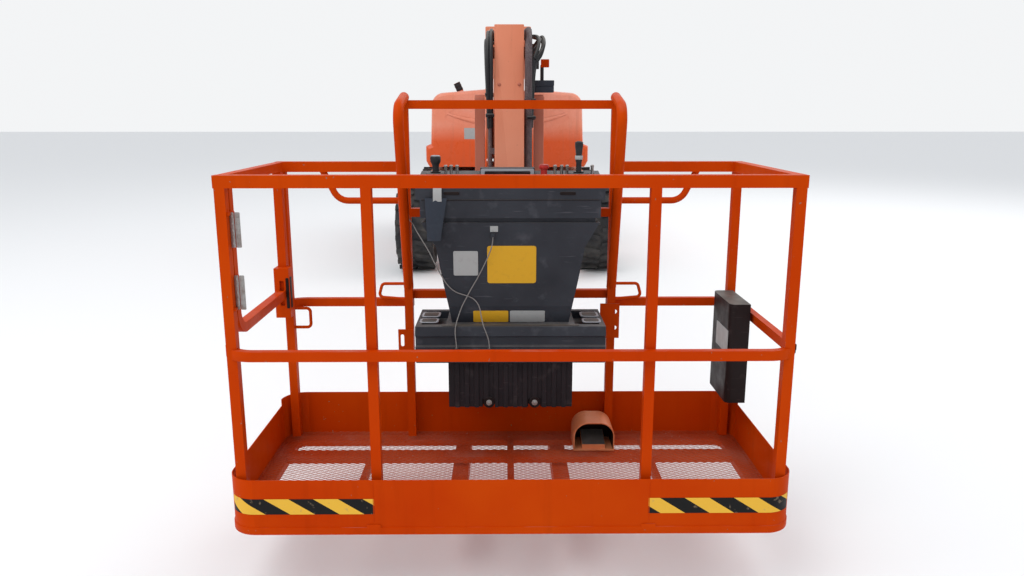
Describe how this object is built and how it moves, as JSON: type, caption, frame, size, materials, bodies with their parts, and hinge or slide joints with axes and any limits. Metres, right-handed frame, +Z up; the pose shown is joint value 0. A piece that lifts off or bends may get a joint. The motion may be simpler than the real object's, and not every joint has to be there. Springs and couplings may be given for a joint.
{
  "type": "telescopic boom lift",
  "caption": "Telescopic boom lift with jib: rotating railed platform, levelling jib, sliding boom, slewing turntable with domed hoods, lugged wheels.",
  "frame": {"origin": "on the ground under the middle of the machine's overall length and width", "axes": "+Z up, +Y from the work platform towards the counterweight, +X to the picture's right"},
  "size_m": [2.17, 9.205, 2.4246],
  "materials": {
    "tyre": "worn black rubber with dust",
    "rim_paint": "off-white painted steel",
    "frame_paint": "orange painted steel, dusty",
    "steel": "bare steel",
    "orange_paint": "orange gloss paint, scuffed",
    "weight_paint": "orange painted cast iron",
    "engine_iron": "dark cast iron",
    "hood_plastic": "orange moulded hood",
    "dark_plastic": "black plastic",
    "rod_chrome": "chromed rod",
    "floor_paint": "worn orange-brown mesh",
    "console_plastic": "dark grey moulded plastic",
    "hose_rubber": "grey woven sleeve and black hose",
    "cord_fibre": "grey braided cord",
    "case_plastic": "black moulded case"
  },
  "bodies": {
    "chassis": {"chassis_frame": "frame_paint", "slew_ring": "steel", "drive_axle": "frame_paint", "steer_axle": "frame_paint"},
    "wheel_drive_left": {"tyre_drive_left": "tyre", "rim_drive_left": "rim_paint"},
    "wheel_drive_right": {"tyre_drive_right": "tyre", "rim_drive_right": "rim_paint"},
    "knuckle_left": {"knuckle_left": "frame_paint"},
    "knuckle_right": {"knuckle_right": "frame_paint"},
    "wheel_steer_left": {"tyre_steer_left": "tyre", "rim_steer_left": "rim_paint"},
    "wheel_steer_right": {"tyre_steer_right": "tyre", "rim_steer_right": "rim_paint"},
    "tie_rod": {"tie_rod": "steel"},
    "turntable": {"turntable_frame": "orange_paint", "counterweight": "weight_paint", "engine_block": "engine_iron", "hood_hinges": "steel"},
    "hood_left": {"hood_left": "hood_plastic"},
    "hood_right": {"hood_right": "hood_plastic"},
    "base_boom": {"base_boom": "orange_paint", "hose_carrier": "dark_plastic"},
    "fly_boom": {"fly_boom": "orange_paint"},
    "lift_barrel": {"lift_cyl_barrel": "orange_paint"},
    "lift_rod": {"lift_cyl_rod": "rod_chrome"},
    "jib_yoke": {"jib_yoke": "orange_paint"},
    "jib_arm": {"jib_arm": "orange_paint", "jib_cyl_barrel": "orange_paint", "jib_hoses": "hose_rubber"},
    "jib_rod": {"jib_cyl_rod": "rod_chrome"},
    "jib_links": {"jib_links": "orange_paint"},
    "bracket": {"platform_bracket": "orange_paint"},
    "platform": {"platform_carrier": "orange_paint", "platform_rails": "orange_paint", "toe_boards": "orange_paint", "platform_floor": "floor_paint", "console": "console_plastic", "console_tray": "console_plastic", "junction_box": "console_plastic", "footswitch": "orange_paint", "document_case": "case_plastic", "cord_left": "cord_fibre", "cord_right": "cord_fibre"},
    "gate": {"gate": "orange_paint"}
  },
  "joints": [
    {"name": "drive_left_spin", "type": "hinge", "parent": "chassis", "child": "wheel_drive_left", "pos_m": [-0.9075, 1.0975, 0.435], "axis": [1, 0, 0], "continuous": true},
    {"name": "drive_right_spin", "type": "hinge", "parent": "chassis", "child": "wheel_drive_right", "pos_m": [0.9075, 1.0975, 0.435], "axis": [1, 0, 0], "continuous": true},
    {"name": "steer_left", "type": "hinge", "parent": "chassis", "child": "knuckle_left", "pos_m": [-0.635, 3.5575, 0.435], "axis": [0, 0, 1], "range_deg": [-35, 35]},
    {"name": "steer_right", "type": "hinge", "parent": "chassis", "child": "knuckle_right", "pos_m": [0.635, 3.5575, 0.435], "axis": [0, 0, 1], "range_deg": [-35.1, 35.1]},
    {"name": "tie_rod_slide", "type": "slide", "parent": "chassis", "child": "tie_rod", "axis": [1, 0, 0], "range_m": [-0.088, 0.088]},
    {"name": "steer_left_spin", "type": "hinge", "parent": "knuckle_left", "child": "wheel_steer_left", "pos_m": [-0.9075, 3.5575, 0.435], "axis": [1, 0, 0], "continuous": true},
    {"name": "steer_right_spin", "type": "hinge", "parent": "knuckle_right", "child": "wheel_steer_right", "pos_m": [0.9075, 3.5575, 0.435], "axis": [1, 0, 0], "continuous": true},
    {"name": "slew", "type": "hinge", "parent": "chassis", "child": "turntable", "pos_m": [0, 2.3275, 0.9], "axis": [0, 0, 1], "continuous": true},
    {"name": "hood_left_lift", "type": "hinge", "parent": "turntable", "child": "hood_left", "pos_m": [-0.215, 2.3275, 1.8], "axis": [0, 1, 0], "range_deg": [0, 55]},
    {"name": "hood_right_lift", "type": "hinge", "parent": "turntable", "child": "hood_right", "pos_m": [0.215, 2.3275, 1.8], "axis": [0, -1, 0], "range_deg": [0, 55]},
    {"name": "boom_lift", "type": "hinge", "parent": "turntable", "child": "base_boom", "pos_m": [0, 3.5775, 2.28], "axis": [-1, 0, 0], "range_deg": [0, 75]},
    {"name": "lift_barrel_swing", "type": "hinge", "parent": "turntable", "child": "lift_barrel", "pos_m": [0, 3.2775, 1.38], "axis": [-1, 0, 0], "range_deg": [0, 57.1]},
    {"name": "lift_rod_slide", "type": "slide", "parent": "lift_barrel", "child": "lift_rod", "axis": [0, -0.9281, 0.3723], "range_m": [0, 1.048]},
    {"name": "boom_telescope", "type": "slide", "parent": "base_boom", "child": "fly_boom", "axis": [0, -0.9978, -0.0663], "range_m": [0, 4.4]},
    {"name": "yoke_level", "type": "hinge", "parent": "fly_boom", "child": "jib_yoke", "pos_m": [0, -3.00799, 1.84259], "axis": [1, 0, 0], "range_deg": [0, 75.1]},
    {"name": "jib_lift", "type": "hinge", "parent": "jib_yoke", "child": "jib_arm", "pos_m": [0, -3.24799, 1.82359], "axis": [-1, 0, 0], "range_deg": [0, 140]},
    {"name": "jib_links_swing", "type": "hinge", "parent": "jib_yoke", "child": "jib_links", "pos_m": [0, -3.20799, 1.61359], "axis": [-1, 0, 0], "range_deg": [0, 140.1]},
    {"name": "jib_rod_slide", "type": "slide", "parent": "jib_arm", "child": "jib_rod", "axis": [0, 0.1219, 0.9925], "range_m": [0, 0.526]},
    {"name": "platform_level", "type": "hinge", "parent": "jib_arm", "child": "bracket", "pos_m": [0, -3.39911, 0.59284], "axis": [1, 0, 0], "range_deg": [0, 140.1]},
    {"name": "platform_rotate", "type": "hinge", "parent": "bracket", "child": "platform", "pos_m": [0, -3.6125, 0.64], "axis": [0, 0, 1], "range_deg": [-90, 90]},
    {"name": "gate_swing", "type": "hinge", "parent": "platform", "child": "gate", "pos_m": [-0.842, -4.5355, 1.11], "axis": [0, 0, -1], "range_deg": [0, 90]}
  ],
  "couplings": [
    {"joint": "steer_right", "follows": "steer_left", "ratio": 1},
    {"joint": "tie_rod_slide", "follows": "steer_left", "m_per_rad": -0.141},
    {"joint": "lift_barrel_swing", "follows": "boom_lift", "ratio": 0.76},
    {"joint": "lift_rod_slide", "follows": "boom_lift", "m_per_rad": 0.8},
    {"joint": "yoke_level", "follows": "boom_lift", "ratio": 1},
    {"joint": "jib_links_swing", "follows": "jib_lift", "ratio": 1},
    {"joint": "jib_rod_slide", "follows": "jib_lift", "m_per_rad": 0.215},
    {"joint": "platform_level", "follows": "jib_lift", "ratio": 1}
  ]
}
